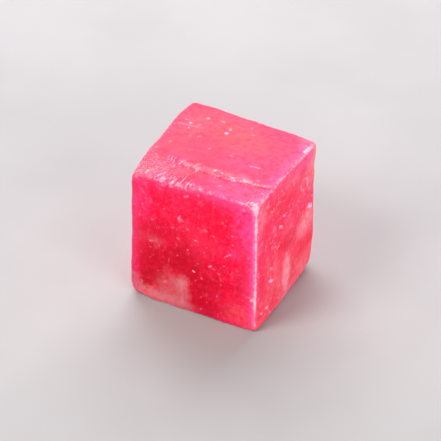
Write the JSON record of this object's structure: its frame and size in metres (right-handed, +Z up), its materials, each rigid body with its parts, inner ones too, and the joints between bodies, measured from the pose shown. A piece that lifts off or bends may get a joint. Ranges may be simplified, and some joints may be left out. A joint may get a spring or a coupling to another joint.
{
  "type": "tumbled ruby cube",
  "caption": "Small tumbled cube of cloudy pinkish-red ruby with soft edges, worn corners, a rough bevel and a low ledge on top; rests on its flat base.",
  "frame": {"origin": "middle of the flat base that the stone rests on, under the centre of its outline", "axes": "+Z up from the base, -Y the wide face with the ledge and bevel above it, +X the face to its right"},
  "size_m": [0.0198, 0.0188, 0.0207],
  "materials": {
    "ruby": "cloudy translucent deep pinkish red, satin tumbled polish with paler frosted edges"
  },
  "bodies": {
    "root": {"ruby_cube": "ruby"}
  },
  "joints": []
}
